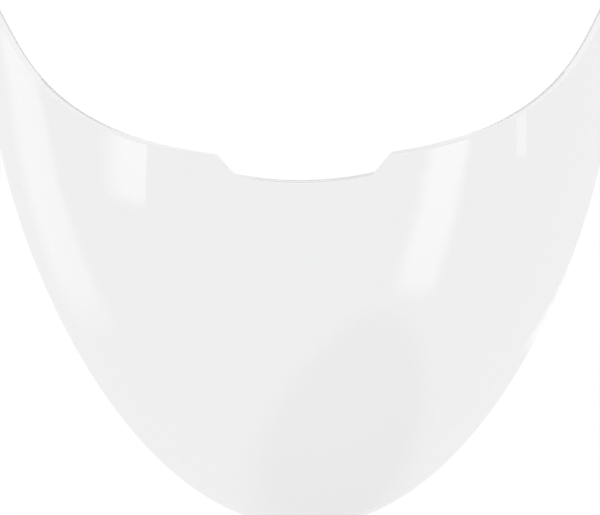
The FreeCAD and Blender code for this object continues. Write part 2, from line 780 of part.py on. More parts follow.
def make_click_plunger():
    body = new_body("click_plunger", PLUNGER_BACK, -size("click_angle"))
    sketch = new_sketch(body, "plunger_outline")
    draw_plunger(sketch)
    pad(body, sketch, PLUNGER_WALL)
    bore = doc.addObject("Part::Cylinder", "spring_bore")
    bind(bore, "Radius", "spring_width / 2 + spring_bore_play")
    bind(bore, "Height", "spring_bore_depth + overrun")
    lay_along_plunger(bore, BORE_END)
    return boolean("Cut", "plunger", body, bore)


keep_both_sides(make_click_plunger(), "click_plunger")


# Plunger spring: wire coils between the bottom of the plunger's bore and the end of the guide

def make_plunger_spring():
    length = f"{SPRING_STOP} - ({BORE_END}) - spring_wire - 2 * running_play"
    line = doc.addObject("Part::Helix", "spring_line")
    bind(line, "Radius", "(spring_width - spring_wire) / 2")
    bind(line, "Height", length)
    bind(line, "Pitch", f"({length}) / spring_turns")
    wire = doc.addObject("Part::Circle", "spring_wire_section")
    bind(wire, "Radius", "spring_wire / 2")
    wire.Placement = Placement(Vector(), Rotation(Vector(1, 0, 0), 90))
    bind(wire, "Placement.Base.x", "(spring_width - spring_wire) / 2")
    coil = doc.addObject("Part::Sweep", "plunger_spring")
    coil.Sections = [wire]
    coil.Spine = (line, [])
    coil.Solid = True
    coil.Frenet = True
    lay_along_plunger(coil, BORE_END + " + spring_wire / 2 + running_play")
    return coil


keep_both_sides(make_plunger_spring(), "plunger_spring")


# Pivot cover: moulded cover that rests on the hub and keeps the ear on it. Its skirt stands on
# the plate round the plunger and stays clear of the arm's whole swing.

def make_pivot_cover():
    top = "cover_wall + " + HUB_HEIGHT
    body = new_body("pivot_cover_blank", PLATE_FACE)
    pad(body, hull_sketch(body, "cover_outline", "0"), top)
    dress(body, "Fillet", "cover_edge", "edge_round", at_level(size("cover_wall") + hub_height()))
    pocket(body, hull_sketch(body, "cover_inside", "0", "skirt_wall"), HUB_HEIGHT, inwards=False)
    groove = hull_sketch(body, "cover_groove", top, "cover_groove_inset")
    draw_hull(groove, "cover_groove_inset + cover_groove_width")
    pocket(body, groove, "cover_groove_depth")
    for rib in range(GRIP_RIBS):
        start = f"tail_reach + grip_start + {rib} * grip_pitch"
        bar = bar_sketch(body, f"grip_{rib}", top, start, start + " + grip_width", "grip_length")
        pad(body, bar, "grip_rise")
    seat = circle_sketch(body, "head_seat", top, "coin_head_width + 4 * running_play")
    pocket(body, seat, "coin_head_sink")
    pocket(body, circle_sketch(body, "shank_hole", top, "coin_shank_width + 4 * running_play"), top)
    gap = doc.addObject("Part::Cylinder", "arm_gap")
    bind(gap, "Radius", "plate_round + tail_reach + tail_round")
    bind(gap, "Height", "overrun + " + HUB_HEIGHT)
    bind(gap, "Angle", "360 - skirt_end + skirt_start")
    turn = Rotation(Vector(1, 0, 0), 90 + size("skirt_end"))
    gap.Placement = Placement(Vector(), turn * Rotation(Vector(0, 1, 0), 90))
    bind(gap, "Placement.Base.x", PLATE_FACE + " - overrun")
    return boolean("Cut", "pivot_cover", body, gap)


keep_both_sides(make_pivot_cover(), "pivot_cover")


# Cover screw: coin-slot screw with a knurled head, down through the cover into the insert

def make_cover_screw():
    shank = "cover_wall - coin_head_sink + coin_grip"
    body = new_body("cover_screw", COVER_SEAT + " + cover_wall - coin_head_sink")
    pad(body, circle_sketch(body, "coin_head", "0", "coin_head_width"), "coin_head_wall")
    dress(body, "Fillet", "coin_head_edge", "coin_head_round", at_level(size("coin_head_wall")))
    groove = circle_sketch(body, "coin_knurl", "coin_head_wall", "2 * knurl_depth", "coin_head_width / 2")
    knurl = pocket(body, groove, "coin_head_wall")
    repeat_round(body, knurl, "coin_knurls", "coin_knurl_count")
    slot = new_sketch(body, "coin_slot", "coin_head_wall")
    draw_rectangle(slot, "-coin_head_width", "coin_head_width", "coin_slot_width")
    pocket(body, slot, "coin_slot_depth")
    pad(body, circle_sketch(body, "coin_shank", f"-({shank})", "coin_shank_width"), shank)
    return body


keep_both_sides(make_cover_screw(), "cover_screw")

failed = [item.Label for item in doc.Objects if {"Invalid", "Error"} & set(item.State)]
failed += [piece.Label for piece in pieces if piece.Shape.isNull() or not piece.Shape.isValid()]
if failed:
    raise ValueError("not sound: " + ", ".join(failed))

os.makedirs("parts", exist_ok=True)
for piece in pieces:
    piece.Shape.exportStep(f"parts/{piece.Label}.step")
    print(piece.Label, round(piece.Shape.Volume, 1), len(piece.Shape.Solids))
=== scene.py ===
import math
import bmesh
import bpy
from mathutils import Matrix, Vector


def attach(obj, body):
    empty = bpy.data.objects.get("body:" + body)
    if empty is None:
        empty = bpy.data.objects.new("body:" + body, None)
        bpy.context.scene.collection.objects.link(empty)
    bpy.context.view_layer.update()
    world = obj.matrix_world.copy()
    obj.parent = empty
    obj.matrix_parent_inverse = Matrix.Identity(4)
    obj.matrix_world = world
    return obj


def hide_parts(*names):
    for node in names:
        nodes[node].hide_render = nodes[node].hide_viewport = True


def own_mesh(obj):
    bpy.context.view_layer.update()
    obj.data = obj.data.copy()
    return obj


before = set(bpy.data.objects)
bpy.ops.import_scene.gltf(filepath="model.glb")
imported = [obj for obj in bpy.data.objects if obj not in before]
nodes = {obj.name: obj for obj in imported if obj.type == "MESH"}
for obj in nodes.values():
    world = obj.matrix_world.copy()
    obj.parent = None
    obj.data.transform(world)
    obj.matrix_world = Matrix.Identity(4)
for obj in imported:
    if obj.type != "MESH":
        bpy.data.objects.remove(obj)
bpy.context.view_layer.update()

scene = bpy.context.scene
scene.view_settings.view_transform = "Standard"

# Shield: one clear polycarbonate sheet, 2.2 mm thick, injection moulded in a polished tool and
# hard coated. Flow in the mould leaves a very slight ripple. Its grey tint takes a little light
# away, and beyond that it is painted shade, deeper than the sheet's own, for the darker
# surroundings it would mirror. Its narrow rim is satin, with a painted dark line of shade along the
# inner edge.
SHEET_TINT_AND_SHADE = (0.855, 0.860, 0.858)
SHEET_IOR = 1.58
SHEET_LOSS = 2.0
SURFACES_SEEN = 4.0
HAZE_SCALE = 9.0
HAZE_DETAIL = 3.0
HAZE_MATT = (0.0, 0.03)
RIPPLE_SCALE = 14.0
RIPPLE_DETAIL = 1.0
RIPPLE_DEPTH = 4e-5
RIM_FACE = (-0.018, 0.053)
RIM_MATT = 0.3
# Painted shade: colour of the dark line along the rim's inner edge.
PAINTED_RIM_SHADE = (0.24, 0.24, 0.245)
LINE_WIDTH = 1.0e-3
LINE_TILT = (0.001, 0.014)
LINE_MIDDLE = (0.024, 0.014)
LINE_SIDES = (0.052, 0.068)


def new_material(name):
    """Material with an empty node tree and its output node."""
    material = bpy.data.materials.new(name)
    material.use_nodes = True
    tree = material.node_tree
    tree.nodes.clear()
    return material, tree, tree.nodes.new("ShaderNodeOutputMaterial")


def join(tree, start, end):
    """Link one socket to another."""
    tree.links.new(start, end)


def add(tree, kind, values):
    """New shader node with values on some of its inputs."""
    node = tree.nodes.new("ShaderNode" + kind)
    for name, value in values.items():
        node.inputs[name].default_value = value
    return node


def spread(tree, value, low, high):
    """Turn a 0 to 1 value into a range."""
    node = add(tree, "MapRange", {"To Min": low, "To Max": high})
    join(tree, value, node.inputs["Value"])
    return node.outputs["Result"]


def combine(tree, operation, *values):
    """Math node on values that are sockets or numbers."""
    node = tree.nodes.new("ShaderNodeMath")
    node.operation = operation
    for socket, value in zip(node.inputs, values):
        if isinstance(value, float):
            socket.default_value = value
        else:
            join(tree, value, socket)
    return node.outputs["Value"]


def object_noise(tree, scale, detail):
    """Noise laid over the piece in its own object coordinates."""
    place = tree.nodes.new("ShaderNodeTexCoord")
    noise = add(tree, "TexNoise", {"Scale": scale, "Detail": detail})
    join(tree, place.outputs["Object"], noise.inputs["Vector"])
    return noise.outputs["Fac"]


def relief(tree, shader, height, depth):
    """Bump on a shader, of a real depth in metres."""
    bump = add(tree, "Bump", {"Distance": depth})
    join(tree, height, bump.inputs["Height"])
    join(tree, bump.outputs["Normal"], shader.inputs["Normal"])


def dot(tree, one, other):
    """Dot product of two vector sockets."""
    product = tree.nodes.new("ShaderNodeVectorMath")
    product.operation = "DOT_PRODUCT"
    join(tree, one, product.inputs[0])
    join(tree, other, product.inputs[1])
    return product.outputs["Value"]


def fade(tree, place, start, end):
    """0 before one place and 1 after another, with a soft change between them."""
    node = add(tree, "MapRange", {"From Min": start, "From Max": end})
    node.interpolation_type = "SMOOTHSTEP"
    join(tree, place, node.inputs["Value"])
    return node.outputs["Result"]


def between(tree, share, dark, light):
    """Colour between two, by a 0 to 1 value."""
    ramp = tree.nodes.new("ShaderNodeValToRGB")
    ramp.color_ramp.elements[0].color = (*dark, 1.0)
    ramp.color_ramp.elements[1].color = (*light, 1.0)
    join(tree, share, ramp.inputs["Fac"])
    return ramp.outputs["Color"]


def dress(material, *names):
    """Put a material on CAD nodes."""
    for name in names:
        slots = nodes[name].material_slots
        for slot in slots:
            slot.material = material
        if not slots:
            nodes[name].data.materials.append(material)


def upper_rim(tree):
    """Masks of the narrow face along the upper rim, and of a painted shade line close to its inner
    edge.

    Seen from the middle of the pivot axis the narrow face lies almost edge-on, and close to its
    inner edge a rounded normal tilts inwards. Beside the notch, about 2 to 6 cm to each side of the
    middle, the painted line is left out.
    """
    surface = tree.nodes.new("ShaderNodeNewGeometry")
    rounded = add(tree, "Bevel", {"Radius": LINE_WIDTH})
    facing = dot(tree, surface.outputs["Normal"], surface.outputs["Position"])
    tilted = dot(tree, rounded.outputs["Normal"], surface.outputs["Position"])
    place = tree.nodes.new("ShaderNodeTexCoord")
    lie, spot = tree.nodes.new("ShaderNodeSeparateXYZ"), tree.nodes.new("ShaderNodeSeparateXYZ")
    join(tree, place.outputs["Normal"], lie.inputs["Vector"])
    join(tree, place.outputs["Object"], spot.inputs["Vector"])
    narrow = combine(tree, "COMPARE", facing, *RIM_FACE)
    upper = combine(tree, "GREATER_THAN", lie.outputs["Z"], surface.outputs["Backfacing"])
    face = combine(tree, "MULTIPLY", narrow, upper)
    inward = fade(tree, combine(tree, "SUBTRACT", facing, tilted), *LINE_TILT)
    aside = combine(tree, "ABSOLUTE", spot.outputs["X"])
    shown = combine(tree, "MAXIMUM", fade(tree, aside, *LINE_MIDDLE),
                    fade(tree, aside, *LINE_SIDES))
    return face, combine(tree, "MULTIPLY", face, combine(tree, "MULTIPLY", inward, shown))


def clear_polycarbonate():
    """Clear sheet. Light that has met its surfaces many times goes straight on, and isn't lost."""
    material, tree, output = new_material("clear_polycarbonate")
    shader = add(tree, "BsdfPrincipled", {"IOR": SHEET_IOR, "Transmission Weight": 1.0})
    face, line = upper_rim(tree)
    # Base colour: the grey tint, partly painted shade, with the painted shade line of the rim over
    # it.
    join(tree, between(tree, line, SHEET_TINT_AND_SHADE, PAINTED_RIM_SHADE), shader.inputs["Base Color"])
    haze = spread(tree, object_noise(tree, HAZE_SCALE, HAZE_DETAIL), *HAZE_MATT)
    satin = combine(tree, "MAXIMUM", haze, combine(tree, "MULTIPLY", face, RIM_MATT))
    join(tree, satin, shader.inputs["Roughness"])
    relief(tree, shader, object_noise(tree, RIPPLE_SCALE, RIPPLE_DETAIL), RIPPLE_DEPTH)
    path = tree.nodes.new("ShaderNodeLightPath")
    seen = combine(tree, "LESS_THAN", path.outputs["Ray Depth"], SURFACES_SEEN)
    join(tree, seen, shader.inputs["Alpha"])
    loss = add(tree, "VolumeAbsorption", {"Color": (0.0, 0.0, 0.0, 1.0), "Density": SHEET_LOSS})
    join(tree, shader.outputs["BSDF"], output.inputs["Surface"])
    join(tree, loss.outputs["Volume"], output.inputs["Volume"])
    return material


dress(clear_polycarbonate(), "shield")

# Base plates: glass-filled nylon mouldings that the helmet carries, one at each ear. Their faces
# have the tool's fine grain. Their edges are paler, partly rubbed where the ear swings past and
# partly a painted highlight along every edge.
PLATE_DARK = (0.030, 0.031, 0.033)
PLATE_LIGHT = (0.042, 0.043, 0.045)
PLATE_MATT = (0.42, 0.62)
PLATE_GRAIN = 2200.0
PLATE_WEAR_AND_SHEEN = 0.5
RUBBED_NYLON_AND_SHEEN = (0.14, 0.14, 0.145)
NYLON_IOR = 1.53
GRAIN_DETAIL = 2.0
GRAIN_DEPTH = 3e-5
MOTTLE_SHARE = 0.05
MOTTLE_DETAIL = 4.0
WEAR_AND_SHEEN_REACH = 9e-4
WEAR_GAIN = 8.0
WEAR_SCALE = 700.0
WEAR_DETAIL = 4.0
WEAR_LEAST = 0.2
WEAR_POLISH = 0.15
DUST = (0.30, 0.29, 0.27)
DUST_REACH = 1.5e-3
DUST_AMOUNT = 0.35
DUST_SAMPLES = 4
DUST_SCALE = 900.0
DUST_DETAIL = 3.0


def both(name):
    """Names of a piece of the pivot kit on the left and on the right side."""
    return name + "_left", name + "_right"


def new_group(name, inputs, outputs):
    """Node group with named number inputs, each with its start value, and number outputs."""
    tree = bpy.data.node_groups.new(name, "ShaderNodeTree")
    for title, value in inputs.items():
        socket = tree.interface.new_socket(title, in_out="INPUT", socket_type="NodeSocketFloat")
        socket.default_value = value
    for title in outputs:
        tree.interface.new_socket(title, in_out="OUTPUT", socket_type="NodeSocketFloat")
    return tree, tree.nodes.new("NodeGroupInput"), tree.nodes.new("NodeGroupOutput")


def use(tree, group, values):
    """Place a node group in a tree, with values on its inputs."""
    node = tree.nodes.new("ShaderNodeGroup")
    node.node_tree = group
    for name, value in values.items():
        node.inputs[name].default_value = value
    return node


def make_fine_grain():
    """Spark-eroded grain of a moulding tool, and the slow mottling of its gloss."""
    tree, start, end = new_group("fine_grain", {"Scale": PLATE_GRAIN}, ("Height", "Mottle"))
    place = tree.nodes.new("ShaderNodeTexCoord")
    fine = start.outputs["Scale"]
    coarse = combine(tree, "MULTIPLY", fine, MOTTLE_SHARE)
    for scale, detail, title in ((fine, GRAIN_DETAIL, "Height"), (coarse, MOTTLE_DETAIL, "Mottle")):
        noise = add(tree, "TexNoise", {"Detail": detail})
        join(tree, place.outputs["Object"], noise.inputs["Vector"])
        join(tree, scale, noise.inputs["Scale"])
        join(tree, noise.outputs["Fac"], end.inputs[title])
    return tree


def make_worn_edges_and_sheen():
    """Paler edges, broken up as rubbing leaves it: wear, and on the plastics also a painted edge
    highlight.
    """
    start_values = {"Radius": WEAR_AND_SHEEN_REACH, "Amount": PLATE_WEAR_AND_SHEEN}
    tree, start, end = new_group("worn_edges_and_sheen", start_values, ("Wear",))
    bevel = add(tree, "Bevel", {})
    join(tree, start.outputs["Radius"], bevel.inputs["Radius"])
    surface = tree.nodes.new("ShaderNodeNewGeometry")
    alike = dot(tree, bevel.outputs["Normal"], surface.outputs["Normal"])
    turned = combine(tree, "SUBTRACT", 1.0, alike)
    edge = combine(tree, "MINIMUM", combine(tree, "MULTIPLY", turned, WEAR_GAIN), 1.0)
    breaks = spread(tree, object_noise(tree, WEAR_SCALE, WEAR_DETAIL), WEAR_LEAST, 1.0)
    broken = combine(tree, "MULTIPLY", edge, breaks)
    join(tree, combine(tree, "MULTIPLY", broken, start.outputs["Amount"]), end.inputs["Wear"])
    return tree


def make_recess_dust():
    """Dust that stays in hollows and inner corners."""
    start_values = {"Reach": DUST_REACH, "Amount": DUST_AMOUNT}
    tree, start, end = new_group("recess_dust", start_values, ("Dust",))
    hollow = add(tree, "AmbientOcclusion", {})
    hollow.samples = DUST_SAMPLES
    join(tree, start.outputs["Reach"], hollow.inputs["Distance"])
    hidden = combine(tree, "SUBTRACT", 1.0, hollow.outputs["AO"])
    patchy = combine(tree, "MULTIPLY", hidden, object_noise(tree, DUST_SCALE, DUST_DETAIL))
    join(tree, combine(tree, "MULTIPLY", patchy, start.outputs["Amount"]), end.inputs["Dust"])
    return tree


FINE_GRAIN = make_fine_grain()
WORN_EDGES_AND_SHEEN = make_worn_edges_and_sheen()
RECESS_DUST = make_recess_dust()


def layer(tree, share, under, over):
    """Plain colour laid over a colour socket, by a 0 to 1 value."""
    mix = tree.nodes.new("ShaderNodeMix")
    mix.data_type = "RGBA"
    factor, lower, upper = mix.inputs[0], mix.inputs[6], mix.inputs[7]
    join(tree, share, factor)
    join(tree, under, lower)
    upper.default_value = (*over, 1.0)
    return mix.outputs[2]


def moulded_plastic(name, dark, light, rubbed, matt, grain, wear):
    """Moulded plastic: grain, mottling, paler smoother edges that are part rubbing wear and part
    painted highlight, and dust in its hollows.
    """
    material, tree, output = new_material(name)
    shader = add(tree, "BsdfPrincipled", {"IOR": NYLON_IOR})
    skin = use(tree, FINE_GRAIN, {"Scale": grain})
    worn = use(tree, WORN_EDGES_AND_SHEEN, {"Radius": WEAR_AND_SHEEN_REACH, "Amount": wear}).outputs["Wear"]
    dust = use(tree, RECESS_DUST, {"Reach": DUST_REACH, "Amount": DUST_AMOUNT}).outputs["Dust"]
    body = between(tree, skin.outputs["Mottle"], dark, light)
    # Paler edges: partly rubbing wear, partly a painted edge highlight.
    colour = layer(tree, dust, layer(tree, worn, body, rubbed), DUST)
    rough = spread(tree, skin.outputs["Mottle"], *matt)
    smooth = combine(tree, "SUBTRACT", rough, combine(tree, "MULTIPLY", worn, WEAR_POLISH))
    join(tree, colour, shader.inputs["Base Color"])
    join(tree, smooth, shader.inputs["Roughness"])
    relief(tree, shader, skin.outputs["Height"], GRAIN_DEPTH)
    join(tree, shader.outputs["BSDF"], output.inputs["Surface"])
    return material


plate_nylon = moulded_plastic("plate_nylon", PLATE_DARK, PLATE_LIGHT, RUBBED_NYLON_AND_SHEEN, PLATE_MATT,
                              PLATE_GRAIN, PLATE_WEAR_AND_SHEEN)
dress(plate_nylon, *both("base_plate"))

# Base gaskets: thin rubber sheets punched to the plate's shape, squeezed between the plate and
# the helmet shell. Moulding talc and bloom leave grey patches on the matt black.
RUBBER_DARK = (0.020, 0.020, 0.021)
RUBBER_LIGHT = (0.038, 0.038, 0.039)
RUBBER_MATT = (0.7, 0.95)
RUBBER_IOR = 1.5
RUBBER_GRAIN = 1300.0
RUBBER_DEPTH = 3e-5
BLOOM = (0.11, 0.11, 0.108)
BLOOM_SCALE = 160.0
BLOOM_DETAIL = 5.0
BLOOM_POWER = 3.0


def gasket_rubber():
    """Matt black rubber with grey patches of bloom."""
    material, tree, output = new_material("gasket_rubber")
    shader = add(tree, "BsdfPrincipled", {"IOR": RUBBER_IOR})
    skin = use(tree, FINE_GRAIN, {"Scale": RUBBER_GRAIN})
    blotches = object_noise(tree, BLOOM_SCALE, BLOOM_DETAIL)
    patches = combine(tree, "POWER", blotches, BLOOM_POWER)
    body = between(tree, skin.outputs["Mottle"], RUBBER_DARK, RUBBER_LIGHT)
    join(tree, layer(tree, patches, body, BLOOM), shader.inputs["Base Color"])
    join(tree, spread(tree, skin.outputs["Mottle"], *RUBBER_MATT), shader.inputs["Roughness"])
    relief(tree, shader, skin.outputs["Height"], RUBBER_DEPTH)
    join(tree, shader.outputs["BSDF"], output.inputs["Surface"])
    return material


dress(gasket_rubber(), *both("base_gasket"))

# Mounting screws: two countersunk cross-recess machine screws in each plate, zinc plated over
# turned steel. The plating is slightly cloudy and the recess is rubbed bright.
ZINC_DARK = (0.50, 0.51, 0.52)
ZINC_LIGHT = (0.70, 0.70, 0.67)
ZINC_MATT = (0.28, 0.45)
BRIGHT_STEEL = (0.78, 0.78, 0.77)
SCREW_REACH = 0.020
SCREW_PITCH = 2.5e-4
TURNED_DEPTH = 4e-6
CLOUD_SCALE = 350.0
CLOUD_DETAIL = 4.0
METAL_WEAR_REACH = 2e-4
METAL_WEAR = 0.8


def rings(tree, reach, pitch):
    """Turning marks round axes across the helmet, at a reach ahead of and behind the pivot."""
    place = tree.nodes.new("ShaderNodeTexCoord")
    parts = tree.nodes.new("ShaderNodeSeparateXYZ")
    join(tree, place.outputs["Object"], parts.inputs["Vector"])
    aside = combine(tree, "SUBTRACT", combine(tree, "ABSOLUTE", parts.outputs["Y"]), reach)
    square = combine(tree, "ADD", combine(tree, "POWER", aside, 2.0),
                     combine(tree, "POWER", parts.outputs["Z"], 2.0))
    turns = combine(tree, "MULTIPLY", combine(tree, "SQRT", square), math.tau / pitch)
    return spread(tree, combine(tree, "SINE", turns), 0.0, 1.0)


def turned_metal(name, dark, light, bright, matt, reach, pitch):
    """Turned metal: cloudy tone, turning marks and brighter rubbed edges."""
    material, tree, output = new_material(name)
    shader = add(tree, "BsdfPrincipled", {"Metallic": 1.0})
    cloud = object_noise(tree, CLOUD_SCALE, CLOUD_DETAIL)
    wear = {"Radius": METAL_WEAR_REACH, "Amount": METAL_WEAR}
    worn = use(tree, WORN_EDGES_AND_SHEEN, wear).outputs["Wear"]
    colour = layer(tree, worn, between(tree, cloud, dark, light), bright)
    join(tree, colour, shader.inputs["Base Color"])
    join(tree, spread(tree, cloud, *matt), shader.inputs["Roughness"])
    relief(tree, shader, rings(tree, reach, pitch), TURNED_DEPTH)
    join(tree, shader.outputs["BSDF"], output.inputs["Surface"])
    return material


screw_steel = turned_metal("screw_steel", ZINC_DARK, ZINC_LIGHT, BRIGHT_STEEL, ZINC_MATT,
                           SCREW_REACH, SCREW_PITCH)
dress(screw_steel, *both("mount_screws"))

# Washers: flat rings of natural nylon on the hub, one on each face of the ear. They are punched
# from sheet, slightly see-through, and the swing rubs faint circles on them.
NYLON_DARK = (0.77, 0.75, 0.69)
NYLON_LIGHT = (0.87, 0.86, 0.82)
NYLON_MATT = (0.5, 0.28)
NYLON_GLOW = 0.2
NYLON_GLOW_REACH = 0.002
RUB_PITCH = 6e-4
RUB_SCALE = 260.0
RUB_DETAIL = 4.0
RUB_DEPTH = 5e-6


def washer_nylon():
    """Natural nylon, a little see-through, with faint circles where the ear turns on it."""
    material, tree, output = new_material("washer_nylon")
    shader = add(tree, "BsdfPrincipled", {
        "IOR": NYLON_IOR, "Subsurface Weight": NYLON_GLOW, "Subsurface Scale": NYLON_GLOW_REACH,
    })
    rubbed = rings(tree, 0.0, RUB_PITCH)
    blotch = combine(tree, "MULTIPLY", rubbed, object_noise(tree, RUB_SCALE, RUB_DETAIL))
    join(tree, between(tree, blotch, NYLON_LIGHT, NYLON_DARK), shader.inputs["Base Color"])
    join(tree, spread(tree, blotch, *NYLON_MATT), shader.inputs["Roughness"])
    relief(tree, shader, rubbed, RUB_DEPTH)
    join(tree, shader.outputs["BSDF"], output.inputs["Surface"])
    return material


dress(washer_nylon(), *both("inner_washer"), *both("outer_washer"))

# Hub inserts: knurled brass thread inserts pressed warm into the hubs of the base plates. They
# are turned from bar and a little tarnished.
BRASS_DARK = (0.60, 0.43, 0.18)
BRASS_LIGHT = (0.82, 0.64, 0.34)
BRIGHT_BRASS = (0.90, 0.75, 0.45)
BRASS_MATT = (0.22, 0.42)
BRASS_PITCH = 2e-4
insert_brass = turned_metal("insert_brass", BRASS_DARK, BRASS_LIGHT, BRIGHT_BRASS, BRASS_MATT,
                            0.0, BRASS_PITCH)
dress(insert_brass, *both("hub_insert"))

# Click plungers: natural acetal sliders. Sliding in the guide draws faint grey marks along them
# and polishes the nose that clicks in the ear's scallops.
ACETAL_DARK = (0.74, 0.74, 0.71)
ACETAL_LIGHT = (0.87, 0.87, 0.85)
ACETAL_MATT = (0.45, 0.25)
ACETAL_IOR = 1.48
ACETAL_GLOW = 0.1
ACETAL_GLOW_REACH = 0.001
MARK_SCALE = 2500.0
MARK_STRETCH = 30.0
MARK_DETAIL = 3.0
CLICK_ANGLE = math.radians(55.0)


def slide_marks(tree, turn, scale, stretch):
    """Noise drawn out along a line in the side view, at a turn below rearwards."""
    place = tree.nodes.new("ShaderNodeTexCoord")
    mapping = add(tree, "Mapping", {
        "Rotation": (turn, 0.0, 0.0), "Scale": (scale, scale / stretch, scale),
    })
    noise = add(tree, "TexNoise", {"Scale": 1.0, "Detail": MARK_DETAIL})
    join(tree, place.outputs["Object"], mapping.inputs["Vector"])
    join(tree, mapping.outputs["Vector"], noise.inputs["Vector"])
    return noise.outputs["Fac"]


def plunger_acetal():
    """Natural acetal with grey marks along the way it slides."""
    material, tree, output = new_material("plunger_acetal")
    shader = add(tree, "BsdfPrincipled", {
        "IOR": ACETAL_IOR, "Subsurface Weight": ACETAL_GLOW, "Subsurface Scale": ACETAL_GLOW_REACH,
    })
    marks = slide_marks(tree, CLICK_ANGLE, MARK_SCALE, MARK_STRETCH)
    join(tree, between(tree, marks, ACETAL_DARK, ACETAL_LIGHT), shader.inputs["Base Color"])
    join(tree, spread(tree, marks, *ACETAL_MATT), shader.inputs["Roughness"])
    relief(tree, shader, marks, RUB_DEPTH)
    join(tree, shader.outputs["BSDF"], output.inputs["Surface"])
    return material


dress(plunger_acetal(), *both("click_plunger"))

# Plunger springs: cold drawn steel wire, wound in seven open turns and left bright with a trace
# of oil that darkens it in places.
WIRE_DARK = (0.38, 0.37, 0.35)
WIRE_LIGHT = (0.66, 0.66, 0.65)
WIRE_MATT = (0.18, 0.36)
OIL_SCALE = 900.0
OIL_DETAIL = 5.0
DRAWN_SCALE = 9000.0
DRAWN_STRETCH = 6.0
WELD = 1e-6


def spring_steel():
    """Bright drawn wire, darker where it is oily."""
    material, tree, output = new_material("spring_steel")
    shader = add(tree, "BsdfPrincipled", {"Metallic": 1.0})
    oil = object_noise(tree, OIL_SCALE, OIL_DETAIL)
    join(tree, between(tree, oil, WIRE_DARK, WIRE_LIGHT), shader.inputs["Base Color"])
    join(tree, spread(tree, oil, *WIRE_MATT), shader.inputs["Roughness"])
    drawn = slide_marks(tree, CLICK_ANGLE, DRAWN_SCALE, DRAWN_STRETCH)
    relief(tree, shader, drawn, TURNED_DEPTH)
    join(tree, shader.outputs["BSDF"], output.inputs["Surface"])
    return material


dress(spring_steel(), *both("plunger_spring"))


def sprung(side):
    """Merged copy of the spring, carried by the pivot kit in place of the hidden CAD spring."""
    source = nodes["plunger_spring_" + side]
    mesh = source.data.copy()
    shape = bmesh.new()
    shape.from_mesh(mesh)
    bmesh.ops.remove_doubles(shape, verts=shape.verts, dist=WELD)
    shape.to_mesh(mesh)
    shape.free()
    piece = bpy.data.objects.new("wound_spring_" + side, mesh)
    scene.collection.objects.link(piece)
    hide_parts("plunger_spring_" + side)
    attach(piece, "pivot_kit")
    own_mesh(piece)


sprung("left")
sprung("right")

# Pivot covers: black nylon mouldings over the ears, held by the cover screws. Their edges are
# paler, where fingers rub the grip ribs and the rim and as a painted highlight along every edge,
# and dust gathers in the groove line.
COVER_DARK = (0.024, 0.025, 0.027)
COVER_LIGHT = (0.050, 0.051, 0.054)
COVER_MATT = (0.36, 0.56)
COVER_GRAIN = 1800.0
COVER_WEAR_AND_SHEEN = 0.6
RUBBED_COVER_AND_SHEEN = (0.17, 0.17, 0.175)
cover_nylon = moulded_plastic("cover_nylon", COVER_DARK, COVER_LIGHT, RUBBED_COVER_AND_SHEEN, COVER_MATT,
                              COVER_GRAIN, COVER_WEAR_AND_SHEEN)
dress(cover_nylon, *both("pivot_cover"))

# Cover screws: coin-slot screws moulded in satin black nylon, with a knurled head. The coin
# leaves the slot's edges scuffed and pale, and every edge is paler still as a painted highlight.
COIN_DARK = (0.055, 0.055, 0.058)
COIN_LIGHT = (0.085, 0.085, 0.088)
COIN_MATT = (0.30, 0.46)
COIN_GRAIN = 3200.0
COIN_WEAR_AND_SHEEN = 0.9
SCUFFED_AND_SHEEN = (0.26, 0.26, 0.26)
coin_screw = moulded_plastic("coin_screw", COIN_DARK, COIN_LIGHT, SCUFFED_AND_SHEEN, COIN_MATT,
                             COIN_GRAIN, COIN_WEAR_AND_SHEEN)
dress(coin_screw, *both("cover_screw"))

# Studio: a pale floor well below the visor in plain white surroundings, a soft box from above
# and windows low at both sides, whose reflections are the broad highlights of the sheet. A dim
# oval on the floor shows only in reflections, as the darker lower middle of the sheet.
WHITE = (1.0, 1.0, 1.0, 1.0)
ROOM_LIGHT = 0.85
ROOM_WHITE = 1.0
FLOOR_LEVEL = -1.3
FLOOR_HALF = 6.0
FLOOR_PAINT = (0.9, 0.9, 0.9, 1.0)
FLOOR_GLOW = 0.95
FLOOR_WHITE = 1.012
SHADE_PLACE = (0.40, -1.05, FLOOR_LEVEL)
SHADE_TURN = 0.47
SHADE_HALF = (0.72, 1.3, 1.0)
SHADE_EDGE = (1.0, 0.6)
SHADE_TONE = 0.67
VISOR_MIDDLE = Vector((0.0, -0.12, -0.05))
BOX_DISTANCE = 1.5
BOX_FALL = 0.4
SURFACES_MIRRORED = 3.0


def seen_as(tree, *kinds):
    """1 for rays of some kinds and 0 for the rest."""
    path = tree.nodes.new("ShaderNodeLightPath")
    total = path.outputs[kinds[0]]
    for kind in kinds[1:]:
        total = combine(tree, "MAXIMUM", total, path.outputs[kind])
    return total


def white_room():
    """Plain surroundings that are seen white and light the object less than that."""
    world = bpy.data.worlds.new("studio")
    scene.world = world
    world.use_nodes = True
    tree = world.node_tree
    tree.nodes.clear()
    surround = add(tree, "Background", {"Color": WHITE})
    output = tree.nodes.new("ShaderNodeOutputWorld")
    seen = seen_as(tree, "Is Camera Ray", "Is Glossy Ray", "Is Transmission Ray")
    join(tree, spread(tree, seen, ROOM_LIGHT, ROOM_WHITE), surround.inputs["Strength"])
    join(tree, surround.outputs["Background"], output.inputs["Surface"])


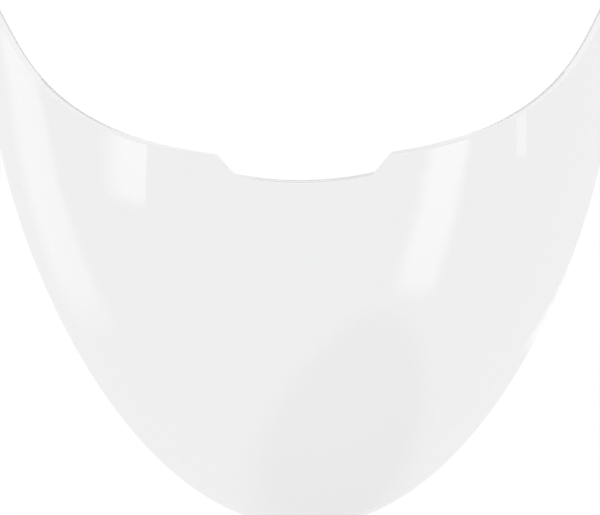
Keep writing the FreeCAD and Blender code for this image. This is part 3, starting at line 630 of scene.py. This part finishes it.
def pale_floor():
    """Floor that is painted pale and is seen white, with a trace of the object's shadow."""
    material, tree, output = new_material("floor_paint")
    paint = add(tree, "BsdfDiffuse", {"Color": FLOOR_PAINT})
    glow = tree.nodes.new("ShaderNodeEmission")
    place = tree.nodes.new("ShaderNodeTexCoord")
    patch = add(tree, "Mapping", {
        "Location": SHADE_PLACE, "Rotation": (0.0, 0.0, SHADE_TURN), "Scale": SHADE_HALF,
    })
    patch.vector_type = "TEXTURE"
    away = tree.nodes.new("ShaderNodeVectorMath")
    away.operation = "LENGTH"
    join(tree, place.outputs["Object"], patch.inputs["Vector"])
    join(tree, patch.outputs["Vector"], away.inputs[0])
    mirrored = combine(tree, "MULTIPLY", seen_as(tree, "Is Glossy Ray"),
                       fade(tree, away.outputs["Value"], *SHADE_EDGE))
    join(tree, spread(tree, mirrored, FLOOR_WHITE, SHADE_TONE), glow.inputs["Strength"])
    mix = tree.nodes.new("ShaderNodeMixShader")
    seen = seen_as(tree, "Is Camera Ray", "Is Glossy Ray", "Is Transmission Ray")
    join(tree, spread(tree, seen, 0.0, FLOOR_GLOW), mix.inputs["Fac"])
    join(tree, paint.outputs["BSDF"], mix.inputs[1])
    join(tree, glow.outputs["Emission"], mix.inputs[2])
    join(tree, mix.outputs["Shader"], output.inputs["Surface"])
    mesh = bpy.data.meshes.new("floor")
    shape = bmesh.new()
    bmesh.ops.create_grid(shape, x_segments=1, y_segments=1, size=FLOOR_HALF)
    bmesh.ops.translate(shape, verts=shape.verts, vec=(0.0, 0.0, FLOOR_LEVEL))
    shape.to_mesh(mesh)
    shape.free()
    mesh.materials.append(material)
    floor = bpy.data.objects.new("floor", mesh)
    scene.collection.objects.link(floor)


def soft_box(name, toward, reach, radiance, left, right, low, high, lean=0.0, slope=0.0):
    """Soft box in a direction from the visor: degrees from straight ahead and degrees up. It is
    mirrored by outer faces, and not by light that ran along inside the sheet.

    Its lit field is a four-sided shape in a rectangle of a half width and height. The sides
    lean, the lower and upper edges slope, and each edge is where it starts and where it is full.
    The light gets weaker towards the lower side.
    """
    turn, rise = math.radians(toward[0]), math.radians(toward[1])
    level = math.cos(rise)
    way = Vector((math.sin(turn) * level, -math.cos(turn) * level, math.sin(rise)))
    light = bpy.data.lights.new(name, "AREA")
    light.shape = "RECTANGLE"
    light.size = 2 * reach[0]
    light.size_y = 2 * reach[1]
    light.energy = radiance * math.pi * light.size * light.size_y
    light.use_nodes = True
    tree = light.node_tree
    tree.nodes.clear()
    surface = tree.nodes.new("ShaderNodeNewGeometry")
    parts = tree.nodes.new("ShaderNodeSeparateXYZ")
    join(tree, surface.outputs["Parametric"], parts.inputs["Vector"])
    across = spread(tree, parts.outputs["X"], -reach[0], reach[0])
    up = spread(tree, parts.outputs["Y"], -reach[1], reach[1])
    sideways = combine(tree, "SUBTRACT", across, combine(tree, "MULTIPLY", up, lean))
    height = combine(tree, "SUBTRACT", up, combine(tree, "MULTIPLY", across, slope))
    path = tree.nodes.new("ShaderNodeLightPath")
    field = combine(tree, "LESS_THAN", path.outputs["Ray Depth"], SURFACES_MIRRORED)
    field = combine(tree, "MULTIPLY", field, fade(tree, sideways, *left))
    for place, edge in ((sideways, right), (height, low), (height, high)):
        field = combine(tree, "MULTIPLY", field, fade(tree, place, *edge))
    glow = tree.nodes.new("ShaderNodeEmission")
    output = tree.nodes.new("ShaderNodeOutputLight")
    strength = combine(tree, "MULTIPLY", field, spread(tree, parts.outputs["Y"], BOX_FALL, 1.0))
    join(tree, strength, glow.inputs["Strength"])
    join(tree, glow.outputs["Emission"], output.inputs["Surface"])
    lamp = bpy.data.objects.new(name, light)
    facing = way.to_track_quat("Z", "Y").to_matrix().to_4x4()
    lamp.matrix_world = Matrix.Translation(VISOR_MIDDLE + way * BOX_DISTANCE) @ facing
    lamp.visible_camera = False
    lamp.visible_transmission = False
    scene.collection.objects.link(lamp)


white_room()
pale_floor()
soft_box("left_window", toward=(-57, -13), reach=(0.45, 0.5), radiance=1.95,
         left=(-0.30, -0.03), right=(0.16, 0.14), low=(-0.16, -0.08), high=(0.5, 0.45),
         lean=0.31, slope=0.25)
soft_box("left_long_window", toward=(-98, -30), reach=(0.6, 0.6), radiance=0.84,
         left=(-0.42, -0.08), right=(0.34, 0.18), low=(-0.4, -0.15), high=(0.6, 0.5),
         lean=-0.4)
soft_box("right_window", toward=(43, -18), reach=(0.5, 0.55), radiance=1.85,
         left=(-0.27, -0.08), right=(0.27, 0.12), low=(-0.38, -0.24), high=(0.55, 0.5),
         lean=0.31, slope=-0.19)
soft_box("right_slit", toward=(73, -17), reach=(0.3, 0.3), radiance=1.05,
         left=(-0.01, 0.01), right=(0.10, 0.08), low=(-0.03, 0.0), high=(0.3, 0.25),
         lean=-0.45, slope=-0.36)
soft_box("right_long_window", toward=(110, -40), reach=(0.5, 0.5), radiance=1.05,
         left=(0.05, 0.12), right=(0.22, 0.15), low=(-0.17, -0.09), high=(0.12, 0.05),
         lean=1.2)
soft_box("top_box", toward=(20, 60), reach=(0.5, 0.5), radiance=2.3,
         left=(-0.5, -0.4), right=(0.5, 0.4), low=(-0.5, -0.4), high=(0.5, 0.4))

# Camera: the photograph's view, from in front and from above. Its place, aim and lens come from
# fitting the part's edges to the photograph's, and it is rolled by half a degree.
CAMERA_PLACE = Vector((-0.00658388, -0.87913368, 0.46181036))
CAMERA_AIM = Vector((-0.00109892, -0.06, -0.11176608))
CAMERA_ROLL = math.radians(-0.481)
CAMERA_LENS = 165.38
CAMERA_SENSOR = 36.0
lens = bpy.data.cameras.new("photo_camera")
lens.lens = CAMERA_LENS
lens.sensor_width = CAMERA_SENSOR
lens.sensor_fit = "HORIZONTAL"
camera = bpy.data.objects.new("photo_camera", lens)
ahead = (CAMERA_AIM - CAMERA_PLACE).normalized()
side = ahead.cross(Vector((0, 0, 1))).normalized()
upright = side.cross(ahead)
across = side * math.cos(CAMERA_ROLL) + upright * math.sin(CAMERA_ROLL)
upward = upright * math.cos(CAMERA_ROLL) - side * math.sin(CAMERA_ROLL)
turned = Matrix((across, upward, -ahead)).transposed().to_4x4()
camera.matrix_world = Matrix.Translation(CAMERA_PLACE) @ turned
scene.collection.objects.link(camera)
scene.camera = camera
